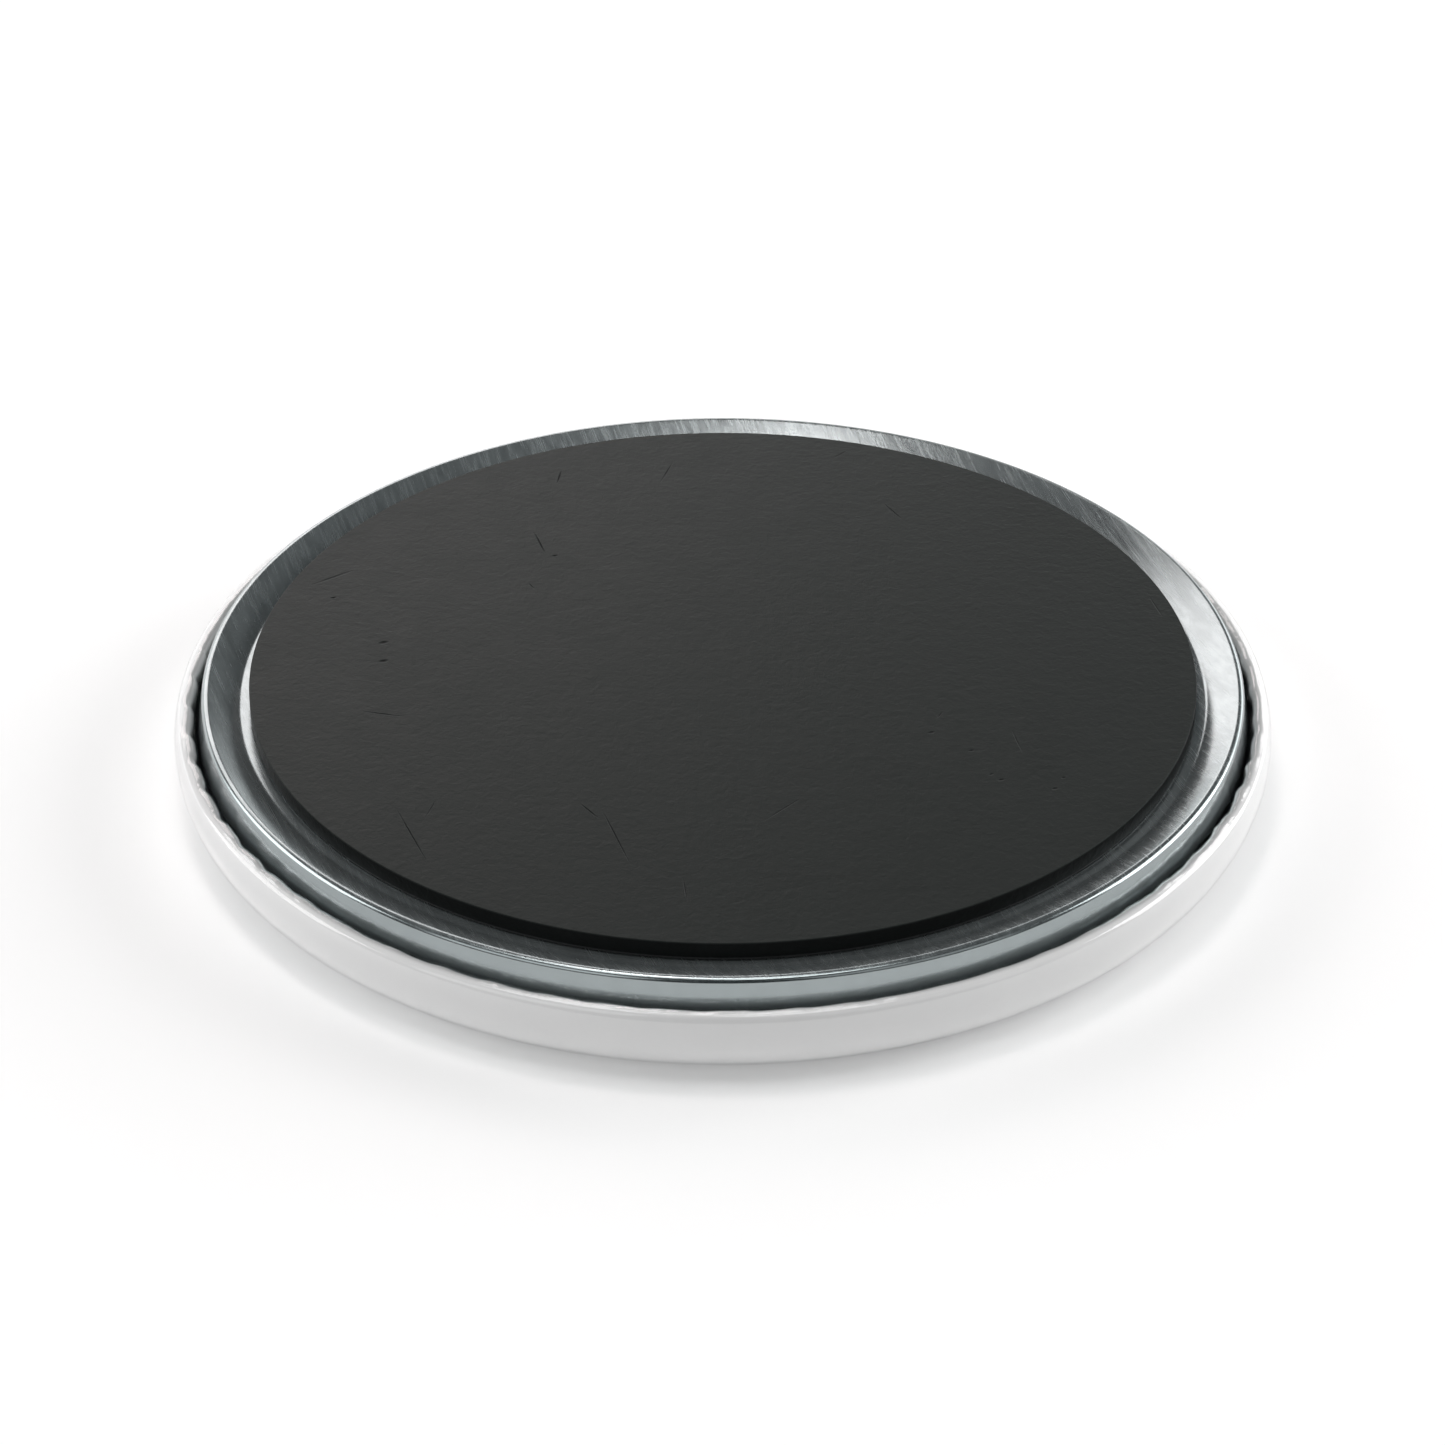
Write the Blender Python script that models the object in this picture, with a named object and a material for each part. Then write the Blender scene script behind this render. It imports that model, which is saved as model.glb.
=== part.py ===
"""Round crimped button with a flexible magnet on its back.

A sheet of paper and a clear film lie over a stamped tinplate shell. The shell's wall leans in and its
edge is turned down inside, with paper and film folded over it, and that lip holds a tinplate back
plate. The plate has a round recess inside a raised bead. A disc of flexible magnet is glued into it.

The button lies on its printed face: the face is at Z = 0 and the magnet looks up, along +Z. The axis
of the button is the Z axis. Every piece is turned about it, from a section of (radius, height) points.
"""

import math

import bmesh
import bpy

MM = 0.001

# Outer form, measured over the clear film.
BUTTON_DIAMETER = 58.2 * MM
FACE_EDGE_RADIUS = 3.0 * MM
SHOULDER_RADIUS = 3.0 * MM
SHOULDER_SWEEP = 19.5

# Thicknesses of the crimped layers, and the bend that is left inside the folded lip.
FILM_THICKNESS = 0.05 * MM
PAPER_THICKNESS = 0.09 * MM
SHELL_THICKNESS = 0.20 * MM
LAYER_GAP = 0.03 * MM
LIP_FOLD_RADIUS = 0.04 * MM

# How far each layer runs down inside the lip, from the middle of the fold.
SHEET_TUCK = 0.34 * MM
SHELL_TUCK = 0.44 * MM

# Back plate. Slope and draft are in degrees.
PLATE_THICKNESS = 0.25 * MM
BEAD_RISE = 1.16 * MM
BEAD_BEND_RADIUS = 0.05 * MM
BEAD_SLOPE = 25.0
RECESS_DEPTH = 0.75 * MM
RECESS_FILLET = 0.5 * MM
WALL_DRAFT = 10.0
FLANGE_BEND_RADIUS = 0.2 * MM
FLANGE_DROP = 50.0

# Magnet and the adhesive under it.
MAGNET_THICKNESS = 0.9 * MM
MAGNET_EDGE = 0.05 * MM
ADHESIVE_THICKNESS = 0.14 * MM
ADHESIVE_INSET = 0.1 * MM

# Clearances.
LIP_CLEARANCE = 0.29 * MM
EDGE_CLEARANCE = 0.05 * MM
SEAT_CLEARANCE = 0.08 * MM
MAGNET_CLEARANCE = 0.57 * MM
GLUE_LINE = 0.03 * MM

# Fineness of the turned solids.
SEGMENTS = 48
FACE_EDGE_STEPS = 5
SHOULDER_STEPS = 2
LIP_STEPS = 4
BEAD_STEPS = 4
BEND_STEPS = 2
MERGE_DISTANCE = 0.001 * MM
SHARP_ANGLE = math.radians(35.0)

# Depth of each layer's outer face below the outside of the film.
PAPER_DEPTH = FILM_THICKNESS + LAYER_GAP
SHELL_DEPTH = PAPER_DEPTH + PAPER_THICKNESS + LAYER_GAP
SHELL_INNER_DEPTH = SHELL_DEPTH + SHELL_THICKNESS

# Centres of the three arcs of the outer form, as (radius, height).
LIP_RADIUS = SHELL_INNER_DEPTH + LIP_FOLD_RADIUS
FACE_EDGE_CENTRE = (BUTTON_DIAMETER / 2 - FACE_EDGE_RADIUS, FACE_EDGE_RADIUS)
SHOULDER_CENTRE = (BUTTON_DIAMETER / 2 - SHOULDER_RADIUS, FACE_EDGE_RADIUS)


def polar(centre, radius, angle):
    """The point at this distance and this angle in degrees, from +radius towards +height."""
    turn = math.radians(angle)
    return (centre[0] + radius * math.cos(turn), centre[1] + radius * math.sin(turn))


LIP_CENTRE = polar(SHOULDER_CENTRE, SHOULDER_RADIUS - LIP_RADIUS, SHOULDER_SWEEP)


def arc(centre, radius, start, end, steps):
    """Points on an arc between two angles in degrees, both ends included."""
    return [polar(centre, radius, start + (end - start) * step / steps) for step in range(steps + 1)]


def crimped_line(depth, tuck):
    """From the axis over the face, up the wall, over the lip and down inside it, at this depth."""
    line = [(0.0, depth)]
    line += arc(FACE_EDGE_CENTRE, FACE_EDGE_RADIUS - depth, -90.0, 0.0, FACE_EDGE_STEPS)
    line += arc(SHOULDER_CENTRE, SHOULDER_RADIUS - depth, 0.0, SHOULDER_SWEEP, SHOULDER_STEPS)[1:]
    line += arc(LIP_CENTRE, LIP_RADIUS - depth, SHOULDER_SWEEP, 180.0, LIP_STEPS)[1:]
    line.append((LIP_CENTRE[0] - LIP_RADIUS + depth, LIP_CENTRE[1] - tuck))
    return line


def crimped_section(depth, thickness, tuck):
    """Section of one crimped layer, from the axis out along its outer face and back along its inner one."""
    outer = crimped_line(depth, tuck)
    inner = crimped_line(depth + thickness, tuck)
    return outer + inner[::-1]


def along(point, angle, distance):
    """The point this far from another in the direction of the angle in degrees."""
    return polar(point, distance, angle)


def reach_circle(start, angle, centre, radius):
    """Where a line from inside a circle meets it."""
    direction = polar((0.0, 0.0), 1.0, angle)
    offset = (start[0] - centre[0], start[1] - centre[1])
    across = offset[0] * direction[0] + offset[1] * direction[1]
    inside = radius**2 - offset[0] ** 2 - offset[1] ** 2
    return along(start, angle, math.sqrt(across**2 + inside) - across)


# Heights and radii of the back plate's upper face.
LIP_OPENING = LIP_CENTRE[0] - LIP_RADIUS
BEAD_RADIUS = BEAD_BEND_RADIUS + PLATE_THICKNESS
BEAD_TOP = LIP_CENTRE[1] + LIP_RADIUS + BEAD_RISE
RECESS_FLOOR = BEAD_TOP - RECESS_DEPTH


def wall_radius(height):
    """Outer radius of the plate's drafted wall, which clears the lip's inside at the middle of the fold."""
    return LIP_OPENING - LIP_CLEARANCE - math.tan(math.radians(WALL_DRAFT)) * (height - LIP_CENTRE[1])


def bead_centre():
    """Centre of the bead's rounding, which touches the drafted wall."""
    height = BEAD_TOP - BEAD_RADIUS
    touch = polar((0.0, height), BEAD_RADIUS, WALL_DRAFT)
    return (wall_radius(touch[1]) - touch[0], height)


def recess_corner():
    """Radius where the sloping side of the recess would meet its floor with no fillet."""
    slope_top = polar(bead_centre(), BEAD_RADIUS, 90.0 + BEAD_SLOPE)
    return slope_top[0] - (slope_top[1] - RECESS_FLOOR) / math.tan(math.radians(BEAD_SLOPE))


def plate_line(depth):
    """From the axis over the recess floor, slope, bead, wall and flange, at this depth."""
    fillet_shift = RECESS_FILLET * math.tan(math.radians(BEAD_SLOPE / 2))
    fillet_centre = (recess_corner() - fillet_shift, RECESS_FLOOR + RECESS_FILLET)
    bend_height = LIP_CENTRE[1] - SHELL_TUCK - EDGE_CLEARANCE
    bend_centre = along((wall_radius(bend_height), bend_height), WALL_DRAFT, FLANGE_BEND_RADIUS)
    flange_side = 270.0 - FLANGE_DROP
    bend_end = polar(bend_centre, FLANGE_BEND_RADIUS, flange_side)
    seat_radius = FACE_EDGE_RADIUS - SHELL_INNER_DEPTH - SEAT_CLEARANCE
    tip = reach_circle(bend_end, -FLANGE_DROP, FACE_EDGE_CENTRE, seat_radius)
    line = [(0.0, RECESS_FLOOR - depth)]
    line += arc(fillet_centre, RECESS_FILLET + depth, -90.0, BEAD_SLOPE - 90.0, BEND_STEPS)
    line += arc(bead_centre(), BEAD_RADIUS - depth, 90.0 + BEAD_SLOPE, WALL_DRAFT, BEAD_STEPS)
    line += arc(bend_centre, FLANGE_BEND_RADIUS + depth, 180.0 + WALL_DRAFT, flange_side, BEND_STEPS)
    line.append(along(tip, flange_side, depth))
    return line


def disc_section(radius, thickness, edge=0.0):
    """Section of a flat disc that stands on height zero, with its upper rim eased by the edge."""
    rim = arc((radius - edge, thickness - edge), edge, 0.0, 90.0, BEND_STEPS)
    return [(0.0, 0.0), (radius, 0.0)] + rim + [(0.0, thickness)]


def finish(name, colour, roughness, metallic, alpha=1.0):
    """A Principled material in this colour."""
    material = bpy.data.materials.new(name)
    material.use_nodes = True
    shader = material.node_tree.nodes["Principled BSDF"]
    shader.inputs["Base Color"].default_value = (*colour, 1.0)
    shader.inputs["Roughness"].default_value = roughness
    shader.inputs["Metallic"].default_value = metallic
    shader.inputs["Alpha"].default_value = alpha
    return material


def turned(name, section, height, holder, material):
    """A solid turned from an open section whose two ends lie on the axis, set at this height."""
    shape = bmesh.new()
    points = [shape.verts.new((radius, 0.0, level)) for radius, level in section]
    edges = [shape.edges.new(pair) for pair in zip(points, points[1:])]
    bmesh.ops.spin(
        shape,
        geom=points + edges,
        cent=(0.0, 0.0, 0.0),
        axis=(0.0, 0.0, 1.0),
        angle=math.tau,
        steps=SEGMENTS,
        use_merge=True,
    )
    bmesh.ops.remove_doubles(shape, verts=shape.verts, dist=MERGE_DISTANCE)
    bmesh.ops.recalc_face_normals(shape, faces=shape.faces)
    mesh = bpy.data.meshes.new(name)
    shape.to_mesh(mesh)
    shape.free()
    mesh.shade_smooth()
    mesh.set_sharp_from_angle(angle=SHARP_ANGLE)
    mesh.materials.append(material)
    piece = bpy.data.objects.new(name, mesh)
    bpy.context.collection.objects.link(piece)
    piece.parent = holder
    piece.location = (0.0, 0.0, height)
    return piece


def lowered(section, drop):
    """The same section with every height measured from a new zero."""
    return [(radius, level - drop) for radius, level in section]


def clear_scene():
    for old in list(bpy.data.objects):
        bpy.data.objects.remove(old, do_unlink=True)


def build_crimped_layers(holder):
    """Film, paper and shell, from the outside in."""
    film = finish("clear polyester film", (0.9, 0.92, 0.93), 0.06, 0.0, 0.25)
    paper = finish("white printed paper", (0.83, 0.83, 0.82), 0.55, 0.0)
    tinplate = finish("tinplate, shell", (0.55, 0.57, 0.58), 0.3, 1.0)
    turned("clear_film", crimped_section(0.0, FILM_THICKNESS, SHEET_TUCK), 0.0, holder, film)
    turned("printed_sheet", crimped_section(PAPER_DEPTH, PAPER_THICKNESS, SHEET_TUCK), 0.0, holder, paper)
    turned("front_shell", crimped_section(SHELL_DEPTH, SHELL_THICKNESS, SHELL_TUCK), 0.0, holder, tinplate)


def build_back_plate(holder):
    """Stamped plate with its recess floor at its own zero height."""
    tinplate = finish("brushed tinplate, back", (0.5, 0.53, 0.54), 0.28, 1.0)
    section = plate_line(0.0) + plate_line(PLATE_THICKNESS)[::-1]
    turned("back_plate", lowered(section, RECESS_FLOOR), RECESS_FLOOR, holder, tinplate)


def build_magnet(holder):
    """Adhesive disc and magnet disc, stacked on the recess floor."""
    adhesive = finish("double-sided adhesive", (0.05, 0.05, 0.05), 0.5, 0.0)
    ferrite = finish("flexible magnet", (0.045, 0.047, 0.046), 0.5, 0.0)
    magnet_radius = recess_corner() - MAGNET_CLEARANCE
    adhesive_base = RECESS_FLOOR + GLUE_LINE
    magnet_base = adhesive_base + ADHESIVE_THICKNESS + GLUE_LINE
    adhesive_section = disc_section(magnet_radius - ADHESIVE_INSET, ADHESIVE_THICKNESS)
    magnet_section = disc_section(magnet_radius, MAGNET_THICKNESS, MAGNET_EDGE)
    turned("adhesive_disc", adhesive_section, adhesive_base, holder, adhesive)
    turned("magnet_disc", magnet_section, magnet_base, holder, ferrite)


def main():
    clear_scene()
    holder = bpy.data.objects.new("crimped_button", None)
    bpy.context.collection.objects.link(holder)
    build_crimped_layers(holder)
    build_back_plate(holder)
    build_magnet(holder)


main()
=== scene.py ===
"""Looks of a round crimped button with a flexible magnet on its back.

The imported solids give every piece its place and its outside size. Here each of them is made again with
the fine surface of the real thing: film and paper pleated where they are crimped over the lip, a brushed
tinplate back plate, and a disc of ferrite-filled rubber with its grain and scratches. Lengths are in
metres. The button's axis is the Z axis, its printed face lies on the table and its magnet looks up.
"""

import math

import bmesh
import bpy
from bpy.props import FloatProperty, FloatVectorProperty, PointerProperty
from mathutils import Euler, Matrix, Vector


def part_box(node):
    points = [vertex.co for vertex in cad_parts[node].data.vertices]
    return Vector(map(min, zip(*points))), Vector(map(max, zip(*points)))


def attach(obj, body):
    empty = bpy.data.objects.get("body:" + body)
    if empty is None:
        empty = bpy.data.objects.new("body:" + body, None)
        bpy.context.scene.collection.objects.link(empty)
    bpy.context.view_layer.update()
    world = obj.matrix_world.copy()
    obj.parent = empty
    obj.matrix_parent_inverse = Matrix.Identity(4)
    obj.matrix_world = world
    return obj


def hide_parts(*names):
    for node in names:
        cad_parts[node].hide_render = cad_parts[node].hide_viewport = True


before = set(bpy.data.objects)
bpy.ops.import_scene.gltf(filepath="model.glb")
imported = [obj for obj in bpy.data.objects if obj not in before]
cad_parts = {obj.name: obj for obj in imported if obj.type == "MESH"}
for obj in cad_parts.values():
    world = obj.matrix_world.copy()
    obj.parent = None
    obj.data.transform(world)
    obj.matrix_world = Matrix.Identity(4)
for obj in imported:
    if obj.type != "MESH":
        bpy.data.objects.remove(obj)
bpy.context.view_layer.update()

bl_info = {
    "name": "Crimped Button Magnet",
    "version": (1, 0, 0),
    "blender": (4, 5, 0),
    "location": "3D View > Sidebar > Button Magnet",
    "description": "Builds a crimped button with a magnet back, and a small studio round it",
    "category": "Object",
}

MM = 0.001

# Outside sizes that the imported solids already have.
FILM_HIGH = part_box("clear_film")[1]
PLATE_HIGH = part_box("back_plate")[1]
GLUE_LOW, GLUE_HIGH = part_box("adhesive_disc")
MAGNET_LOW, MAGNET_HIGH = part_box("magnet_disc")

# Fineness of the turned pieces: steps round the axis, and steps along each bend of a section.
PLAIN_SEGMENTS = 360
PLEATED_SEGMENTS = 720
FACE_EDGE_STEPS = 9
SHOULDER_STEPS = 4
LIP_STEPS = 12
TUCK_STEPS = 4
BEAD_STEPS = 14
BEND_STEPS = 5
MERGE_DISTANCE = 0.0005 * MM
SHARP_ANGLE = math.radians(40.0)


# --- Settings a user may change ---------------------------------------------------------------------


def length(name, description, millimetres):
    """A length property with its default in millimetres."""
    return FloatProperty(name=name, description=description, default=millimetres * MM, unit="LENGTH")


def turn(name, description, degrees):
    """An angle property with its default in degrees."""
    return FloatProperty(name=name, description=description, default=math.radians(degrees), unit="ROTATION")


def share(name, description, default):
    """A property between nought and one."""
    return FloatProperty(name=name, description=description, default=default, min=0.0, max=1.0)


def colour(name, description, default):
    """A colour property."""
    return FloatVectorProperty(name=name, description=description, default=default, subtype="COLOR", size=3)


class CrimpSizes(bpy.types.PropertyGroup):
    """Film, paper and shell, which share one section."""

    face_edge_radius: length("Face edge radius", "Bend between the printed face and the wall", 3.0)
    shoulder_radius: length("Shoulder radius", "Bend where the wall leans in", 3.0)
    shoulder_sweep: turn("Shoulder sweep", "How far the wall leans in below the lip", 19.5)
    film_thickness: length("Film thickness", "Clear film over everything", 0.05)
    paper_thickness: length("Paper thickness", "White sheet under the film", 0.09)
    shell_thickness: length("Shell thickness", "Stamped tinplate cup", 0.20)
    layer_gap: length("Layer gap", "Air between two layers", 0.03)
    fold_radius: length("Fold radius", "Bend left inside the folded lip", 0.04)
    sheet_tuck: length("Sheet tuck", "How far film and paper run down inside the lip", 0.34)
    shell_tuck: length("Shell tuck", "How far the shell runs down inside the lip", 0.44)
    pleat_depth: length("Pleat depth", "How far the crimping tools push the sheets into pleats", 0.17)
    edge_wander: length("Edge wander", "How unevenly the tucked sheets end", 0.12)
    lip_ripple: length("Lip ripple", "Waves left along the top of the lip", 0.012)


class PlateSizes(bpy.types.PropertyGroup):
    """Stamped back plate."""

    thickness: length("Thickness", "Tinplate of the back plate", 0.25)
    bead_bend: length("Bead bend", "Bend inside the raised bead", 0.05)
    bead_slope: turn("Bead slope", "Slope from the recess up to the bead", 25.0)
    recess_depth: length("Recess depth", "From the bead's top down to the recess", 0.75)
    recess_fillet: length("Recess fillet", "Bend at the foot of the slope", 0.5)
    wall_draft: turn("Wall draft", "How far the plate's wall leans", 10.0)
    wall_foot: length("Wall foot", "Height where the wall bends out under the lip", 3.3645)
    wall_foot_radius: length("Wall foot radius", "Radius of the wall at its foot", 27.8696)
    flange_bend: length("Flange bend", "Bend between wall and flange", 0.2)
    flange_drop: turn("Flange drop", "How steeply the flange runs down under the lip", 50.0)
    seat_clearance: length("Seat clearance", "Air between the flange's tip and the shell", 0.08)


class MagnetSizes(bpy.types.PropertyGroup):
    """Magnet disc and the adhesive under it."""

    edge: length("Edge", "Rounding that the die leaves on the magnet's rim", 0.04)
    under_edge: length("Under edge", "Rounding on the magnet's lower rim", 0.05)
    glue_edge: length("Glue edge", "Rounding of the adhesive's rim", 0.04)


class Looks(bpy.types.PropertyGroup):
    """Colours and surface finish."""

    paper: colour("Paper", "White sheet", (0.80, 0.80, 0.80))
    # Painted shade: grey that the paper takes inside the lip, where the narrow fold lies in shade.
    paper_fold_shade: colour("Paper fold", "The sheet where it is stretched inside the lip", (0.48, 0.49, 0.49))
    tinplate: colour("Tinplate", "Brushed back plate", (0.340, 0.378, 0.384))
    shell: colour("Shell", "Plain tinplate inside", (0.50, 0.52, 0.53))
    magnet: colour("Magnet", "Calendered face of the ferrite-filled rubber", (0.0168, 0.0196, 0.0186))
    # Painted shade: the magnet's upright side gets a far darker colour than its face, for the shade it stands
    # in.
    magnet_side_shade: colour("Magnet side", "Cut edge of the ferrite-filled rubber", (0.0030, 0.0036, 0.0034))
    glue: colour("Adhesive", "Carrier of the adhesive disc", (0.02, 0.02, 0.02))
    film_mirror: share("Film mirror", "Share of light that each side of the film mirrors head on", 0.035)
    film_roughness: share("Film roughness", "Roughness of the clear film", 0.08)
    tinplate_roughness: share("Tinplate roughness", "Roughness of the brushed face", 0.24)
    tinplate_metal: share("Tinplate metal", "Share of bare metal; the rest is pale lacquer", 0.82)
    magnet_gloss: share("Magnet gloss", "Strength of the magnet's sheen", 0.115)
    magnet_roughness: share("Magnet roughness", "Roughness of the magnet's face", 0.5)
    brush_turn: turn("Brush direction", "Direction of the brush lines, from +X", -70.0)


class StudioSettings(bpy.types.PropertyGroup):
    """Table, lamps and camera."""

    table: colour("Table", "Plain pale table", (0.86, 0.86, 0.86))
    table_glow: FloatProperty(name="Table glow", description="Light that the table gives off", default=0.15)
    lamps: FloatProperty(name="Lamps", description="Brightness of all soft panels together", default=1.0)
    sky: colour("Sky", "Dim light from all round", (0.035, 0.042, 0.044))
    horizon: FloatProperty(name="Horizon", description="Radiance low down behind the button", default=1.6)
    camera_pitch: turn("Camera pitch", "How far the camera looks down", 33.16)
    camera_distance: length("Camera distance", "From the camera to what it aims at", 245.7)
    camera_lens: FloatProperty(name="Lens", description="Focal length in millimetres", default=115.6)


SETTINGS = {
    "button_crimp": CrimpSizes,
    "button_plate": PlateSizes,
    "button_magnet": MagnetSizes,
    "button_looks": Looks,
    "button_studio": StudioSettings,
}


# --- Shader nodes ------------------------------------------------------------------------------------


class Value:
    """A socket of a material. Arithmetic on it adds Math nodes."""

    def __init__(self, finish, socket):
        self.finish = finish
        self.socket = socket

    def maths(self, operation, *values, clamp=False):
        settings = {"operation": operation, "use_clamp": clamp}
        return self.finish.node("ShaderNodeMath", settings, dict(enumerate(values)))

    def __add__(self, other):
        return self.maths("ADD", self, other)

    def __sub__(self, other):
        return self.maths("SUBTRACT", self, other)

    def __rsub__(self, other):
        return self.maths("SUBTRACT", other, self)

    def __mul__(self, other):
        return self.maths("MULTIPLY", self, other)

    def __truediv__(self, other):
        return self.maths("DIVIDE", self, other)

    def __pow__(self, other):
        return self.maths("POWER", self, other)

    __radd__ = __add__
    __rmul__ = __mul__

    def clamped(self):
        return self.maths("ADD", self, 0.0, clamp=True)

    def largest(self, other):
        return self.maths("MAXIMUM", self, other)

    def step(self, low, high):
        """Nought below low, one above high, and smooth between them."""
        settings = {"interpolation_type": "SMOOTHSTEP"}
        return self.finish.node("ShaderNodeMapRange", settings, {0: self, 1: low, 2: high})


class Finish:
    """The node tree of a material or of the world while it is being made."""

    def __init__(self, owner, end="ShaderNodeOutputMaterial"):
        owner.use_nodes = True
        self.owner = owner
        self.end = end
        self.tree = owner.node_tree
        self.tree.nodes.clear()

    def feed(self, socket, value):
        if isinstance(value, Value):
            self.tree.links.new(value.socket, socket)
        elif isinstance(value, (tuple, list)) and socket.type == "RGBA":
            socket.default_value = (*value[:3], 1.0)
        else:
            socket.default_value = value

    def node(self, kind, settings=None, inputs=None, output=0):
        """A node of this type, with its settings made first and then the values or links of its sockets."""
        made = self.tree.nodes.new(kind)
        for name, value in (settings or {}).items():
            setattr(made, name, value)
        for key, value in (inputs or {}).items():
            self.feed(made.inputs[key], value)
        return Value(self, made.outputs[output])

    def place(self):
        """Coordinates of the piece itself."""
        return self.node("ShaderNodeTexCoord", output="Object")

    def turned_place(self, angle):
        """Coordinates turned about the axis, so that X runs along this direction."""
        inputs = {"Vector": self.place(), "Rotation": (0.0, 0.0, -angle)}
        return self.node("ShaderNodeMapping", {}, inputs)

    def noise(self, place, sizes, detail=3.0, roughness=0.55, distortion=0.0):
        """Noise whose features have these sizes along X, Y and Z."""
        stretched = self.node(
            "ShaderNodeMapping", {}, {"Vector": place, "Scale": tuple(1.0 / size for size in sizes)}
        )
        inputs = {
            "Vector": stretched,
            "Scale": 1.0,
            "Detail": detail,
            "Roughness": roughness,
            "Distortion": distortion,
        }
        return self.node("ShaderNodeTexNoise", {}, inputs)

    def even_noise(self, size, **how):
        return self.noise(self.place(), (size, size, size), **how)

    def radius_and_height(self):
        """Distance from the axis, and height above the table."""
        axes = self.node("ShaderNodeSeparateXYZ", {}, {"Vector": self.place()}).socket.node.outputs
        across = Value(self, axes["X"])
        depth = Value(self, axes["Y"])
        return (across * across + depth * depth) ** 0.5, Value(self, axes["Z"])

    def mix_colour(self, amount, first, second):
        settings = {"data_type": "RGBA"}
        return self.node("ShaderNodeMix", settings, {0: amount, 6: first, 7: second}, 2)

    def bump(self, height, depth):
        """A normal bent by this height, which runs from nought to one over this depth."""
        return self.node("ShaderNodeBump", {}, {"Height": height, "Distance": depth, "Strength": 1.0})

    def principled(self, **sockets):
        inputs = {name.replace("_", " ").title(): value for name, value in sockets.items()}
        if "Ior" in inputs:
            inputs["IOR"] = inputs.pop("Ior")
        if "Specular Level" in inputs:
            inputs["Specular IOR Level"] = inputs.pop("Specular Level")
        return self.node("ShaderNodeBsdfPrincipled", {}, inputs)

    def done(self, shader):
        """Joins the shader to the tree's output and hands back the finished material or world."""
        end = self.tree.nodes.new(self.end)
        self.feed(end.inputs["Surface"], shader)
        return self.owner


def tinted(paint, factor):
    """A colour made lighter or darker by this factor, and no brighter than white."""
    return tuple(min(1.0, factor * channel) for channel in paint)


# The stretch of film and paper that is folded inside the lip: how far in from the film's outside the fold
# begins and is complete, and the heights between which it fades in above the wall. On the film this stretch
# is crumpled; on the paper it gets painted shade.
FILM_FOLD = (0.40 * MM, 0.65 * MM)
PAPER_FOLD_SHADE = (0.45 * MM, 0.75 * MM)
FOLD_HEIGHTS = (2.0 * MM, 3.0 * MM)

# The back plate's bead: how far in from its rim the outer wall ends and the inner slope begins.
BEAD_CHANGE = (1.0 * MM, 1.3 * MM)
WALL_METAL = 0.96


def fold_mask(finish, fold):
    """One where a sheet is folded inside the lip, and nought on its face and wall."""
    radius, height = finish.radius_and_height()
    inwards = radius.step(FILM_HIGH.x - fold[0], FILM_HIGH.x - fold[1])
    return inwards * height.step(*FOLD_HEIGHTS)


def film_finish(looks):
    """Clear glossy film: it mirrors more the flatter it is looked at, and lets the rest through."""
    finish = Finish(bpy.data.materials.new("clear polyester film"))
    flatness = finish.node("ShaderNodeLayerWeight", {}, {"Blend": 0.5}, "Facing")
    mirrored = looks.film_mirror + (1.0 - looks.film_mirror) * flatness**5
    cockle = finish.even_noise(1.6 * MM, detail=2.0)
    crumple = finish.even_noise(0.9 * MM, detail=2.0)
    folded = fold_mask(finish, FILM_FOLD)
    handling = finish.even_noise(0.5 * MM, detail=5.0)
    gloss = finish.principled(
        base_color=(1.0, 1.0, 1.0),
        metallic=1.0,
        roughness=looks.film_roughness * (0.7 + 0.6 * handling),
        normal=finish.bump(0.07 * cockle + folded * crumple, 0.09 * MM),
    )
    clear = finish.node("ShaderNodeBsdfTransparent", {}, {"Color": (1.0, 1.0, 1.0)})
    return finish.done(finish.node("ShaderNodeMixShader", {}, {0: mirrored.clamped(), 1: clear, 2: gloss}))


def paper_finish(looks):
    """White coated paper with a trace of its fibres, and painted shade (grey) where it is folded inside the
    lip.
    """
    finish = Finish(bpy.data.materials.new("white coated paper"))
    fibre = finish.noise(finish.turned_place(math.radians(20.0)), (0.5 * MM, 0.12 * MM, 0.2 * MM), detail=4.0)
    cloud = finish.even_noise(4.0 * MM, detail=2.0)
    clean = finish.mix_colour(
        0.7 * fibre + 0.3 * cloud,
        tinted(looks.paper, 0.97),
        tinted(looks.paper, 1.03),
    )
    # Painted shade: inside the lip the paper is mixed towards the grey fold shade colour.
    folded = fold_mask(finish, PAPER_FOLD_SHADE)
    tone = finish.mix_colour(folded * (0.8 + 0.2 * fibre), clean, tuple(looks.paper_fold_shade))
    shader = finish.principled(
        base_color=tone,
        roughness=0.42 + 0.16 * fibre,
        normal=finish.bump(fibre, 0.004 * MM),
    )
    return finish.done(shader)


def shell_finish(looks):
    """Plain rolled tinplate, which stays hidden inside the crimp."""
    finish = Finish(bpy.data.materials.new("rolled tinplate"))
    rolling = finish.noise(finish.place(), (6.0 * MM, 0.2 * MM, 0.6 * MM), detail=3.0)
    bloom = finish.even_noise(3.0 * MM, detail=3.0)
    tone = finish.mix_colour(bloom, tinted(looks.shell, 0.88), tuple(looks.shell))
    shader = finish.principled(
        base_color=tone,
        metallic=1.0,
        roughness=0.22 + 0.16 * rolling,
        normal=finish.bump(rolling, 0.001 * MM),
    )
    return finish.done(shader)


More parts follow.
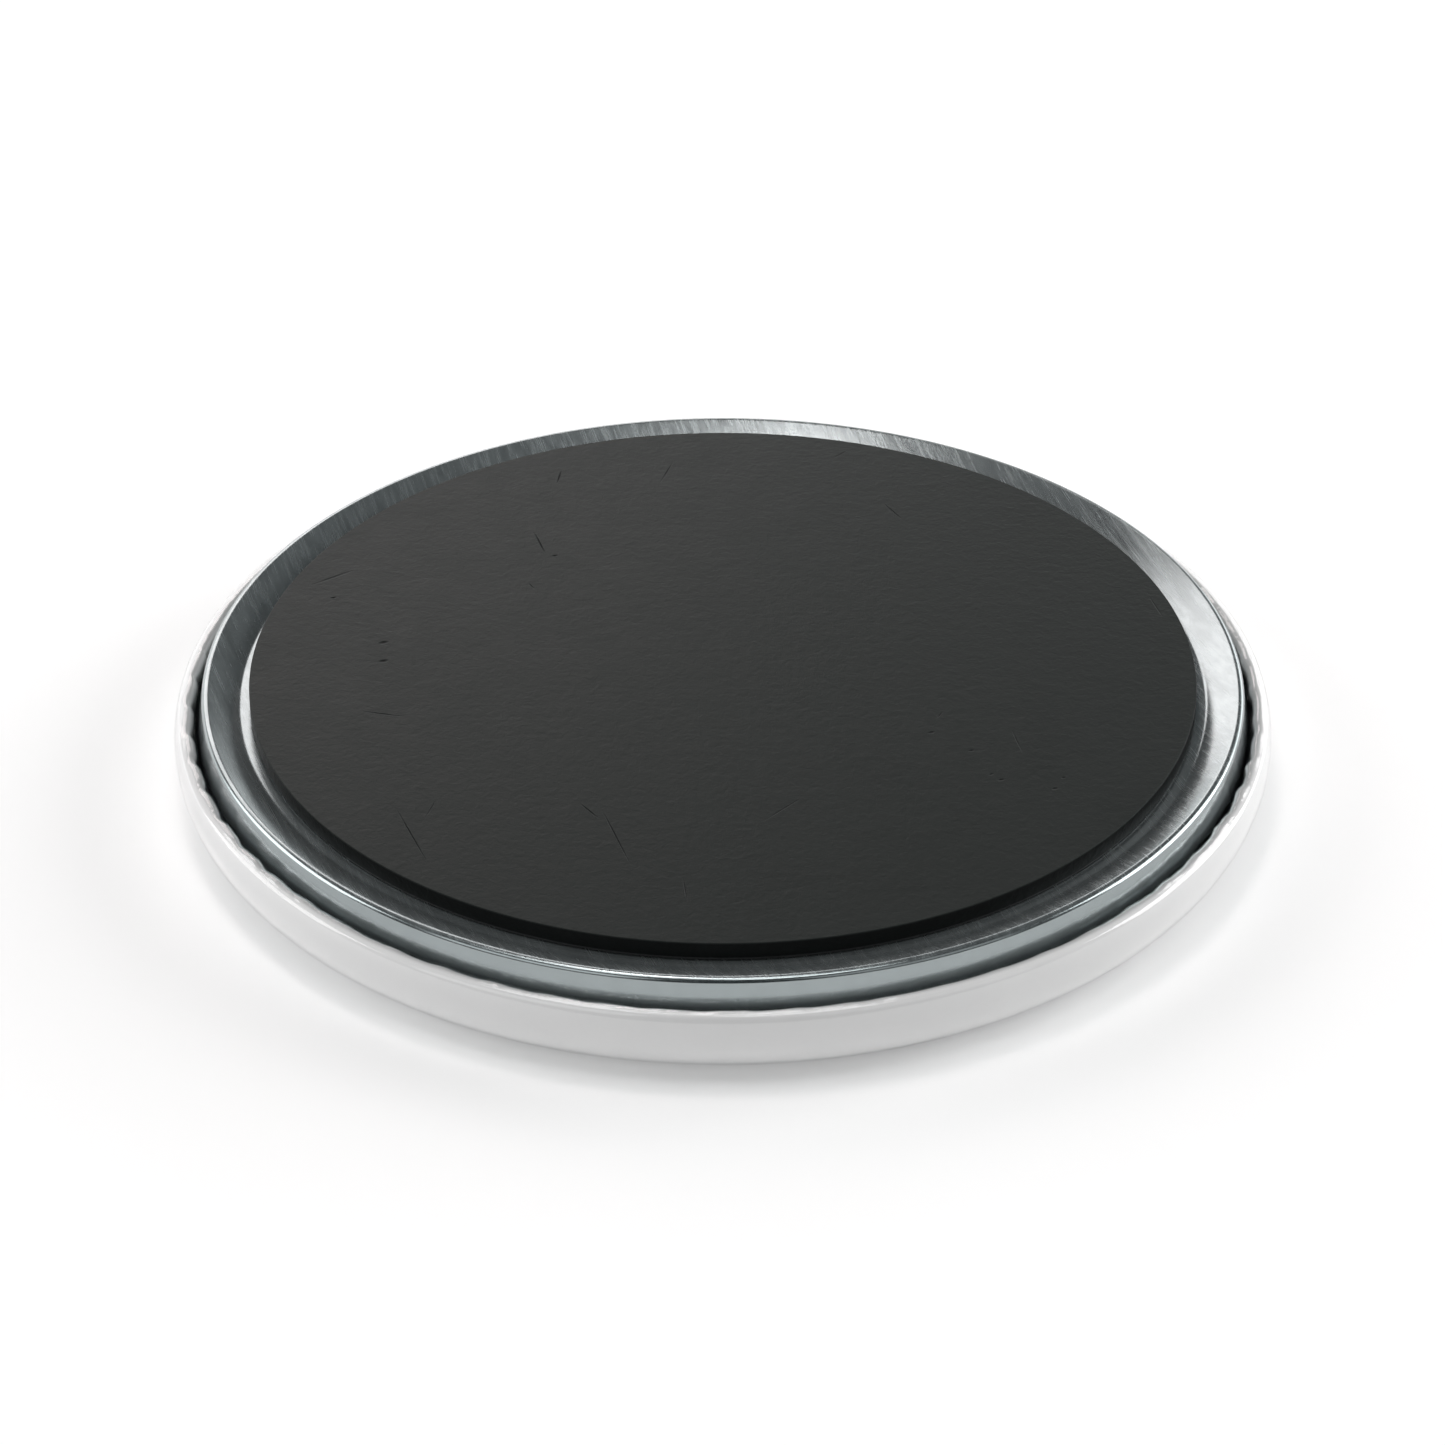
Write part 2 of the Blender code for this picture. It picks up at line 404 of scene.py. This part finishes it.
def plate_finish(looks):
    """Tinplate brushed in one direction before it was stamped; its outer wall is smoother and barer."""
    finish = Finish(bpy.data.materials.new("brushed tinplate"))
    along = finish.turned_place(looks.brush_turn)
    hair = finish.noise(along, (3.2 * MM, 0.06 * MM, 0.6 * MM), detail=4.0, roughness=0.62)
    streak = finish.noise(along, (6.0 * MM, 0.30 * MM, 1.2 * MM), detail=3.0, roughness=0.6)
    stain = finish.noise(along, (2.6 * MM, 0.9 * MM, 1.2 * MM), detail=4.0, roughness=0.6)
    brushing = (0.45 * hair + 0.55 * streak).step(0.36, 0.64)
    radius = finish.radius_and_height()[0]
    inside = radius.step(PLATE_HIGH.x - BEAD_CHANGE[0], PLATE_HIGH.x - BEAD_CHANGE[1])
    mottling = 0.6 * stain.step(0.35, 0.65) + 0.4 * brushing
    tone = finish.mix_colour(
        (0.5 + (mottling - 0.5) * (0.25 + 0.75 * inside)).clamped(),
        tinted(looks.tinplate, 0.84),
        tinted(looks.tinplate, 1.10),
    )
    shader = finish.principled(
        base_color=tone,
        metallic=looks.tinplate_metal + (WALL_METAL - looks.tinplate_metal) * (1.0 - inside),
        roughness=looks.tinplate_roughness * (0.8 + 0.4 * brushing) * (0.65 + 0.35 * inside),
        normal=finish.bump((0.3 * hair + 0.7 * streak) * (0.03 + 0.97 * inside), 0.0020 * MM),
    )
    return finish.done(shader)


# Scratches in the magnet's face: middle (x, y), length, width, direction in degrees, and how deep each is
# cut from nought to one. All lengths are in millimetres.
SCRATCHES = [
    ((-9.25, 19.9), 1.5, 0.15, 82.0, 1.0),
    ((-3.20, 20.4), 2.4, 0.12, 73.0, 0.8),
    ((-10.1, 12.65), 2.6, 0.12, -73.0, 1.0),
    ((-21.3, 9.0), 3.0, 0.22, 35.0, 0.35),
    ((-10.4, 8.1), 0.7, 0.12, -62.0, 0.6),
    ((-17.7, -4.65), 2.3, 0.15, -13.0, 0.6),
    ((-15.6, -15.75), 5.2, 0.11, -69.0, 1.0),
    ((-6.75, -13.6), 1.8, 0.12, -54.0, 1.0),
    ((-5.35, -15.9), 5.4, 0.11, -72.5, 1.0),
    ((-14.75, -13.4), 1.6, 0.10, 74.0, 0.6),
    ((-1.85, -20.5), 2.1, 0.12, -84.0, 0.6),
    ((9.50, 16.1), 2.2, 0.12, -61.0, 0.8),
    ((6.70, 22.5), 1.2, 0.12, 46.0, 0.5),
    ((23.4, 6.0), 2.2, 0.12, -75.0, 0.5),
    ((11.3, -4.75), 0.7, 0.13, 62.0, 0.9),
    ((15.2, -7.2), 2.4, 0.11, -78.0, 0.6),
    ((3.10, -13.4), 2.8, 0.12, 47.0, 0.5),
]

# Pits in the magnet's face: middle (x, y) and width in millimetres. All are as deep, as turned in degrees
# and as long for their width as each other.
PIT_SHAPE = 0.6
PIT_TURN = 20.0
PIT_DEPTH = 0.8
PITS = [
    ((-18.1, 2.35), 0.6),
    ((-18.0, 0.5), 0.6),
    ((-21.1, 6.9), 0.4),
    ((-9.24, 11.3), 0.4),
    ((12.8, -8.1), 0.35),
    ((14.2, -10.8), 0.4),
    ((13.7, -10.3), 0.3),
    ((16.9, -11.6), 0.4),
    ((17.4, -10.6), 0.3),
    ((10.8, -6.4), 0.4),
]


def cut(finish, place, middle, size, angle, depth):
    """A long pointed cut: deep in the middle, nought at its ends and sides."""
    inputs = {
        "Vector": place,
        "Location": (middle[0] * MM, middle[1] * MM, 0.0),
        "Rotation": (0.0, 0.0, math.radians(angle)),
        "Scale": (size[0] * MM / 2.0, size[1] * MM / 2.0, 1.0),
    }
    local = finish.node("ShaderNodeMapping", {"vector_type": "TEXTURE"}, inputs)
    reach = finish.node("ShaderNodeVectorMath", {"operation": "LENGTH"}, {0: local}, "Value")
    return depth * (1.0 - reach).clamped()


def magnet_finish(looks):
    """Calendered ferrite rubber: leathery grain, a few scratches and pits, and painted shade on its much
    darker side.
    """
    finish = Finish(bpy.data.materials.new("flexible magnet"))
    place = finish.place()
    grain = finish.noise(place, (0.42 * MM, 0.42 * MM, 0.42 * MM), detail=5.0, roughness=0.6, distortion=0.6)
    crease = finish.noise(place, (2.4 * MM, 1.3 * MM, 1.3 * MM), detail=4.0, roughness=0.55, distortion=1.2)
    dust = finish.noise(place, (3.0 * MM, 3.0 * MM, 3.0 * MM), detail=5.0, roughness=0.65)
    cuts = None
    for middle, long, wide, angle, depth in SCRATCHES:
        mark = cut(finish, place, middle, (long, wide), angle, depth)
        cuts = mark if cuts is None else cuts.largest(mark)
    for middle, wide in PITS:
        pit = cut(finish, place, middle, (wide, wide * PIT_SHAPE), PIT_TURN, PIT_DEPTH)
        cuts = cuts.largest(pit)
    tone = finish.mix_colour(
        dust,
        tinted(looks.magnet, 0.88),
        tinted(looks.magnet, 1.14),
    )
    tone = finish.mix_colour((1.6 * cuts).clamped(), tone, tinted(looks.magnet, 0.15))
    # Painted shade: below the top face, the side takes the much darker side shade colour.
    face = finish.radius_and_height()[1].step(MAGNET_HIGH.z - 0.10 * MM, MAGNET_HIGH.z - 0.02 * MM)
    tone = finish.mix_colour(face, tuple(looks.magnet_side_shade), tone)
    height = 0.6 * grain + 0.4 * crease - 1.5 * cuts
    shader = finish.principled(
        base_color=tone,
        specular_level=looks.magnet_gloss,
        roughness=looks.magnet_roughness * (0.85 + 0.3 * dust) + 0.3 * cuts,
        normal=finish.bump(height, 0.055 * MM),
    )
    return finish.done(shader)


def glue_finish(looks):
    """Dark foam carrier with adhesive on both faces."""
    finish = Finish(bpy.data.materials.new("double-sided adhesive"))
    foam = finish.even_noise(0.09 * MM, detail=4.0, roughness=0.7)
    smear = finish.even_noise(1.2 * MM, detail=3.0)
    tone = finish.mix_colour(foam, tinted(looks.glue, 0.7), tuple(looks.glue))
    shader = finish.principled(
        base_color=tone,
        roughness=0.35 + 0.4 * smear,
        normal=finish.bump(foam, 0.008 * MM),
    )
    return finish.done(shader)


# --- Sections and turning ----------------------------------------------------------------------------


def polar(centre, radius, angle):
    """The point at this distance and this angle in degrees, from +radius towards +height."""
    bearing = math.radians(angle)
    return (centre[0] + radius * math.cos(bearing), centre[1] + radius * math.sin(bearing))


def arc(centre, radius, start, end, steps):
    """Points on an arc between two angles in degrees, both ends included."""
    return [polar(centre, radius, start + (end - start) * step / steps) for step in range(steps + 1)]


def straight(start, end, steps):
    """Points on a straight run, without its first one."""
    return [
        (start[0] + (end[0] - start[0]) * step / steps, start[1] + (end[1] - start[1]) * step / steps)
        for step in range(1, steps + 1)
    ]


def layer_depths(crimp):
    """Depth of the outer face of film, paper and shell below the outside of the film."""
    paper = crimp.film_thickness + crimp.layer_gap
    shell = paper + crimp.paper_thickness + crimp.layer_gap
    return 0.0, paper, shell


def lip_ring(crimp):
    """Centre and radius of the rounding over the lip, measured on the outside of the film."""
    radius = layer_depths(crimp)[2] + crimp.shell_thickness + crimp.fold_radius
    shoulder = (FILM_HIGH.x - crimp.shoulder_radius, crimp.face_edge_radius)
    sweep = math.degrees(crimp.shoulder_sweep)
    return polar(shoulder, crimp.shoulder_radius - radius, sweep), radius


def crimped_line(crimp, depth, tuck):
    """From the axis over the face, up the wall, over the lip and down inside it, at this depth."""
    sweep = math.degrees(crimp.shoulder_sweep)
    face_edge = (FILM_HIGH.x - crimp.face_edge_radius, crimp.face_edge_radius)
    shoulder = (FILM_HIGH.x - crimp.shoulder_radius, crimp.face_edge_radius)
    lip, lip_radius = lip_ring(crimp)
    line = [(0.0, depth)]
    line += arc(face_edge, crimp.face_edge_radius - depth, -90.0, 0.0, FACE_EDGE_STEPS)
    line += arc(shoulder, crimp.shoulder_radius - depth, 0.0, sweep, SHOULDER_STEPS)[1:]
    line += arc(lip, lip_radius - depth, sweep, 180.0, LIP_STEPS)[1:]
    line += straight(line[-1], (line[-1][0], lip[1] - tuck), TUCK_STEPS)
    return line


def crimped_section(crimp, depth, thickness, tuck):
    """Section of one crimped layer, out along its outer face and back along its inner one."""
    return crimped_line(crimp, depth, tuck) + crimped_line(crimp, depth + thickness, tuck)[::-1]


def reach_circle(start, angle, centre, radius):
    """Where a line from inside a circle meets it."""
    direction = polar((0.0, 0.0), 1.0, angle)
    offset = (start[0] - centre[0], start[1] - centre[1])
    across = offset[0] * direction[0] + offset[1] * direction[1]
    inside = radius**2 - offset[0] ** 2 - offset[1] ** 2
    return polar(start, math.sqrt(across**2 + inside) - across, angle)


def plate_line(plate, crimp, depth):
    """From the axis over the recess floor, slope, bead, wall and flange, at this depth."""
    slope = math.degrees(plate.bead_slope)
    draft = math.degrees(plate.wall_draft)
    drop = math.degrees(plate.flange_drop)
    floor = PLATE_HIGH.z - plate.recess_depth
    bead_radius = plate.bead_bend + plate.thickness
    bead_height = PLATE_HIGH.z - bead_radius
    touch = polar((0.0, bead_height), bead_radius, draft)
    wall_at_touch = plate.wall_foot_radius - math.tan(plate.wall_draft) * (touch[1] - plate.wall_foot)
    bead = (wall_at_touch - touch[0], bead_height)
    slope_top = polar(bead, bead_radius, 90.0 + slope)
    corner = slope_top[0] - (slope_top[1] - floor) / math.tan(plate.bead_slope)
    fillet = (
        corner - plate.recess_fillet * math.tan(plate.bead_slope / 2.0),
        floor + plate.recess_fillet,
    )
    foot = (plate.wall_foot_radius, plate.wall_foot)
    bend = polar(foot, plate.flange_bend, draft)
    flange_side = 270.0 - drop
    bend_end = polar(bend, plate.flange_bend, flange_side)
    shell_inside = layer_depths(crimp)[2] + crimp.shell_thickness
    face_edge = (FILM_HIGH.x - crimp.face_edge_radius, crimp.face_edge_radius)
    seat_radius = crimp.face_edge_radius - shell_inside - plate.seat_clearance
    tip = reach_circle(bend_end, -drop, face_edge, seat_radius)
    line = [(0.0, floor - depth)]
    line += arc(fillet, plate.recess_fillet + depth, -90.0, slope - 90.0, BEND_STEPS)
    line += arc(bead, bead_radius - depth, 90.0 + slope, draft, BEAD_STEPS)
    line += arc(bend, plate.flange_bend + depth, 180.0 + draft, flange_side, BEND_STEPS)
    line.append(polar(tip, depth, flange_side))
    return line


def disc_section(radius, low, high, under_edge, edge):
    """Section of a flat disc whose lower and upper rims are rounded."""
    line = [(0.0, low)]
    line += arc((radius - under_edge, low + under_edge), under_edge, -90.0, 0.0, BEND_STEPS)
    line += arc((radius - edge, high - edge), edge, 0.0, 90.0, BEND_STEPS)
    return line + [(0.0, high)]


def turned(section, segments):
    """A bmesh turned about the axis from a section whose two ends lie on it."""
    shape = bmesh.new()
    points = [shape.verts.new((radius, 0.0, height)) for radius, height in section]
    edges = [shape.edges.new(pair) for pair in zip(points, points[1:])]
    bmesh.ops.spin(
        shape,
        geom=points + edges,
        cent=(0.0, 0.0, 0.0),
        axis=(0.0, 0.0, 1.0),
        angle=math.tau,
        steps=segments,
        use_merge=True,
    )
    bmesh.ops.remove_doubles(shape, verts=shape.verts, dist=MERGE_DISTANCE)
    bmesh.ops.recalc_face_normals(shape, faces=shape.faces)
    return shape


def smooth_piece(name, shape, material):
    """An object made from this bmesh, shaded smooth but for its sharp rims."""
    mesh = bpy.data.meshes.new(name)
    shape.to_mesh(mesh)
    shape.free()
    mesh.shade_smooth()
    mesh.set_sharp_from_angle(angle=SHARP_ANGLE)
    mesh.materials.append(material)
    piece = bpy.data.objects.new(name, mesh)
    bpy.context.scene.collection.objects.link(piece)
    return piece


def settle(piece, node):
    """The piece stands for this CAD node: it is hung on the root body, and the CAD node is hidden."""
    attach(piece, "root")
    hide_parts(node)


# --- Pleats ------------------------------------------------------------------------------------------

# Strokes of the crimping tool round the lip, and slower waves that keep them from looking alike.
PLEATS = 63
SLOW_WAVES = ((5, 0.9, 0.4), (11, 0.5, 2.1), (17, 0.35, 4.0))


def wander(bearing, shift):
    """A slow uneven wave round the button, within about one either way."""
    return sum(size * math.sin(count * bearing + phase + shift) for count, size, phase in SLOW_WAVES) / 1.4


def pleat(bearing):
    """One stroke after another, each with its own strength and its own place."""
    stroke = math.sin(PLEATS * bearing + 1.5 * wander(bearing, 0.0))
    fine = 0.35 * math.sin(2.0 * PLEATS * bearing + 2.0 * wander(bearing, 1.7))
    return (stroke + fine) * (0.65 + 0.35 * wander(bearing, 3.1))


def cusp(bearing):
    """Rounded scallops with sharp notches between them, from nought to one."""
    return abs(math.sin(0.5 * PLEATS * bearing + 0.75 * wander(bearing, 0.0)))


def press(bearing):
    """How hard the crimping press bore down here: most at two opposite sides."""
    return 0.25 + 0.75 * math.cos(bearing - 0.15) ** 2


def pleat_sheet(shape, crimp):
    """Presses pleats into the stretch of a sheet that is folded over the lip."""
    lip, lip_radius = lip_ring(crimp)
    for point in shape.verts:
        radius = math.hypot(point.co.x, point.co.y)
        if radius < lip[0] - 1.2 * lip_radius or point.co.z < lip[1] - 1.5 * crimp.sheet_tuck:
            continue
        over = math.degrees(math.atan2(point.co.z - lip[1], radius - lip[0]))
        if radius > lip[0] and over < 20.0:
            continue
        over = over if over > 0.0 else 180.0
        bearing = math.atan2(point.co.y, point.co.x)
        inside = smooth_ramp(over, 72.0, 128.0)
        ripple = smooth_ramp(over, 20.0, 80.0) * (1.0 - inside)
        tucked = radius < lip[0] and over > 178.0
        below = max(0.0, min(1.0, (lip[1] - point.co.z) / crimp.sheet_tuck)) if tucked else 0.0
        push = crimp.pleat_depth * inside * press(bearing) * max(0.0, 0.5 + 0.5 * pleat(bearing))
        rise = crimp.lip_ripple * ripple * wander(2.0 * bearing, 0.9)
        rise += crimp.edge_wander * below * (0.9 - 1.3 * cusp(bearing) + 0.35 * wander(bearing, 5.0))
        scale = (radius + push * math.cos(math.radians(over))) / radius
        point.co.x *= scale
        point.co.y *= scale
        point.co.z += rise + push * math.sin(math.radians(over))


def smooth_ramp(value, low, high):
    """Nought below low, one above high, and smooth between them."""
    share_up = max(0.0, min(1.0, (value - low) / (high - low)))
    return share_up * share_up * (3.0 - 2.0 * share_up)


# --- Operators ---------------------------------------------------------------------------------------


class BUTTON_OT_crimped_layers(bpy.types.Operator):
    """Build the film, the paper and the shell that are crimped together"""

    bl_idname = "button.crimped_layers"
    bl_label = "Film, Paper and Shell"

    def execute(self, context):
        crimp = context.scene.button_crimp
        looks = context.scene.button_looks
        film, paper, shell = layer_depths(crimp)
        section = crimped_section(crimp, film, crimp.film_thickness, crimp.sheet_tuck)
        shape = turned(section, PLEATED_SEGMENTS)
        pleat_sheet(shape, crimp)
        settle(smooth_piece("film_wrap", shape, film_finish(looks)), "clear_film")
        section = crimped_section(crimp, paper, crimp.paper_thickness, crimp.sheet_tuck)
        shape = turned(section, PLEATED_SEGMENTS)
        pleat_sheet(shape, crimp)
        settle(smooth_piece("paper_wrap", shape, paper_finish(looks)), "printed_sheet")
        section = crimped_section(crimp, shell, crimp.shell_thickness, crimp.shell_tuck)
        shape = turned(section, PLAIN_SEGMENTS)
        settle(smooth_piece("shell_cup", shape, shell_finish(looks)), "front_shell")
        return {"FINISHED"}


class BUTTON_OT_plate(bpy.types.Operator):
    """Build the stamped and brushed back plate"""

    bl_idname = "button.plate"
    bl_label = "Back Plate"

    def execute(self, context):
        plate = context.scene.button_plate
        crimp = context.scene.button_crimp
        material = plate_finish(context.scene.button_looks)
        section = plate_line(plate, crimp, 0.0) + plate_line(plate, crimp, plate.thickness)[::-1]
        piece = smooth_piece("brushed_plate", turned(section, PLAIN_SEGMENTS), material)
        settle(piece, "back_plate")
        return {"FINISHED"}


class BUTTON_OT_magnet(bpy.types.Operator):
    """Build the magnet disc and the adhesive disc under it"""

    bl_idname = "button.magnet"
    bl_label = "Magnet and Adhesive"

    def execute(self, context):
        sizes = context.scene.button_magnet
        looks = context.scene.button_looks
        section = disc_section(GLUE_HIGH.x, GLUE_LOW.z, GLUE_HIGH.z, sizes.glue_edge, sizes.glue_edge)
        piece = smooth_piece("glue_pad", turned(section, PLAIN_SEGMENTS), glue_finish(looks))
        settle(piece, "adhesive_disc")
        section = disc_section(MAGNET_HIGH.x, MAGNET_LOW.z, MAGNET_HIGH.z, sizes.under_edge, sizes.edge)
        piece = smooth_piece("magnet_sheet", turned(section, PLAIN_SEGMENTS), magnet_finish(looks))
        settle(piece, "magnet_disc")
        return {"FINISHED"}


# Soft panels: name, direction from the button (degrees from +Y towards +X, degrees up), how wide and how
# high each looks from the button in degrees, and radiance.
PANELS = [
    ("window", -20.5, 29.0, 35.0, 26.0, 2.6),
    ("left_wall", -80.0, 25.0, 40.0, 30.0, 3.3),
    ("right_wall", 75.0, 25.0, 40.0, 30.0, 4.8),
    ("low_right", 48.0, 14.0, 44.0, 16.0, 2.0),
    ("near_left", -140.0, 30.0, 40.0, 30.0, 1.1),
    ("near_right", 140.0, 30.0, 40.0, 30.0, 0.5),
    ("overhead_back", -40.0, 79.0, 11.0, 11.0, 9.0),
    ("overhead_left", -120.0, 72.0, 20.0, 14.0, 3.3),
    ("overhead_right", 150.0, 72.0, 20.0, 14.0, 3.7),
    ("overhead", 0.0, 88.0, 14.0, 14.0, 3.8),
]
PANEL_DISTANCE = 0.8
WHITE = (1.0, 1.0, 1.0)
WARM = (1.08, 1.0, 0.99)
WARM_PANELS = ("window", "overhead_back")

# The table reaches this far, and lies this far below the button so that the two faces don't share a plane.
TABLE_RADIUS = 0.75
TABLE_DROP = 0.02 * MM

# The pale horizon: from no glow at this height in degrees to full glow at that one, and from no glow in
# front of the button to full glow behind it, in shares of the direction along Y.
HORIZON_RISE = (22.0, 6.0)
HORIZON_DEPTH = (-0.5, 0.5)

# What the camera aims at.
CAMERA_AIM = Vector((-0.02 * MM, -1.63 * MM, 3.307 * MM))


class BUTTON_OT_studio(bpy.types.Operator):
    """Build the table, the soft lamps, the dim sky and the camera"""

    bl_idname = "button.studio"
    bl_label = "Studio"

    def execute(self, context):
        studio = context.scene.button_studio
        self.build_table(studio)
        self.build_sky(context, studio)
        for panel in PANELS:
            self.build_panel(studio, *panel)
        self.build_camera(context, studio)
        context.scene.view_settings.view_transform = "Standard"
        return {"FINISHED"}

    def build_table(self, studio):
        finish = Finish(bpy.data.materials.new("plain table"))
        speck = finish.even_noise(0.4 * MM, detail=2.0)
        tone = finish.mix_colour(speck, tinted(studio.table, 0.995), tuple(studio.table))
        surface = finish.principled(
            base_color=tone,
            roughness=0.9,
            specular_level=0.0,
            emission_color=WHITE,
            emission_strength=studio.table_glow,
        )
        material = finish.done(surface)
        shape = bmesh.new()
        bmesh.ops.create_circle(shape, cap_ends=True, cap_tris=False, segments=96, radius=TABLE_RADIUS)
        bmesh.ops.translate(shape, verts=shape.verts, vec=(0.0, 0.0, -TABLE_DROP))
        smooth_piece("table", shape, material)

    def build_sky(self, context, studio):
        finish = Finish(bpy.data.worlds.new("soft sky"), "ShaderNodeOutputWorld")
        direction = finish.node("ShaderNodeTexCoord", output="Generated")
        axes = finish.node("ShaderNodeSeparateXYZ", {}, {"Vector": direction}).socket.node.outputs
        low = Value(finish, axes["Z"]).step(*(math.sin(math.radians(rise)) for rise in HORIZON_RISE))
        behind = Value(finish, axes["Y"]).step(*HORIZON_DEPTH)
        glow = finish.mix_colour(low * behind, tuple(studio.sky), (studio.horizon,) * 3)
        context.scene.world = finish.done(finish.node("ShaderNodeBackground", {}, {"Color": glow}))

    def build_panel(self, studio, name, bearing, rise, wide, high, radiance):
        lamp = bpy.data.lights.new(name, "AREA")
        lamp.shape = "RECTANGLE"
        lamp.color = WARM if name in WARM_PANELS else WHITE
        lamp.size = 2.0 * PANEL_DISTANCE * math.tan(math.radians(wide / 2.0))
        lamp.size_y = 2.0 * PANEL_DISTANCE * math.tan(math.radians(high / 2.0))
        lamp.energy = studio.lamps * radiance * lamp.size * lamp.size_y * math.pi
        holder = bpy.data.objects.new(name, lamp)
        bearing = math.radians(bearing)
        rise = math.radians(rise)
        flat = math.cos(rise) * PANEL_DISTANCE
        height = math.sin(rise) * PANEL_DISTANCE
        holder.location = (math.sin(bearing) * flat, math.cos(bearing) * flat, height)
        holder.rotation_euler = (-holder.location).to_track_quat("-Z", "Y").to_euler()
        holder.visible_camera = False
        bpy.context.scene.collection.objects.link(holder)

    def build_camera(self, context, studio):
        lens = bpy.data.cameras.new("camera")
        lens.sensor_width = 36.0
        lens.lens = studio.camera_lens
        lens.clip_start = 0.01
        lens.clip_end = 20.0
        holder = bpy.data.objects.new("camera", lens)
        tilt = math.pi / 2.0 - studio.camera_pitch
        backwards = Euler((tilt, 0.0, 0.0)).to_matrix() @ Vector((0.0, 0.0, 1.0))
        holder.location = CAMERA_AIM + backwards * studio.camera_distance
        holder.rotation_euler = (tilt, 0.0, 0.0)
        context.scene.collection.objects.link(holder)
        context.scene.camera = holder


OPERATORS = (BUTTON_OT_crimped_layers, BUTTON_OT_plate, BUTTON_OT_magnet, BUTTON_OT_studio)


class BUTTON_PT_sidebar(bpy.types.Panel):
    """Lists the steps that build the button"""

    bl_idname = "BUTTON_PT_sidebar"
    bl_label = "Button Magnet"
    bl_space_type = "VIEW_3D"
    bl_region_type = "UI"
    bl_category = "Button Magnet"

    def draw(self, context):
        for operator in OPERATORS:
            self.layout.operator(operator.bl_idname)
        for name in SETTINGS:
            box = self.layout.box()
            group = getattr(context.scene, name)
            for setting in group.__annotations__:
                box.prop(group, setting)


CLASSES = (*SETTINGS.values(), *OPERATORS, BUTTON_PT_sidebar)


def register():
    for item in CLASSES:
        bpy.utils.register_class(item)
    for name, group in SETTINGS.items():
        setattr(bpy.types.Scene, name, PointerProperty(type=group))


def unregister():
    for name in SETTINGS:
        delattr(bpy.types.Scene, name)
    for item in reversed(CLASSES):
        bpy.utils.unregister_class(item)


def main():
    register()
    bpy.ops.button.crimped_layers()
    bpy.ops.button.plate()
    bpy.ops.button.magnet()
    bpy.ops.button.studio()


if __name__ == "__main__":
    main()
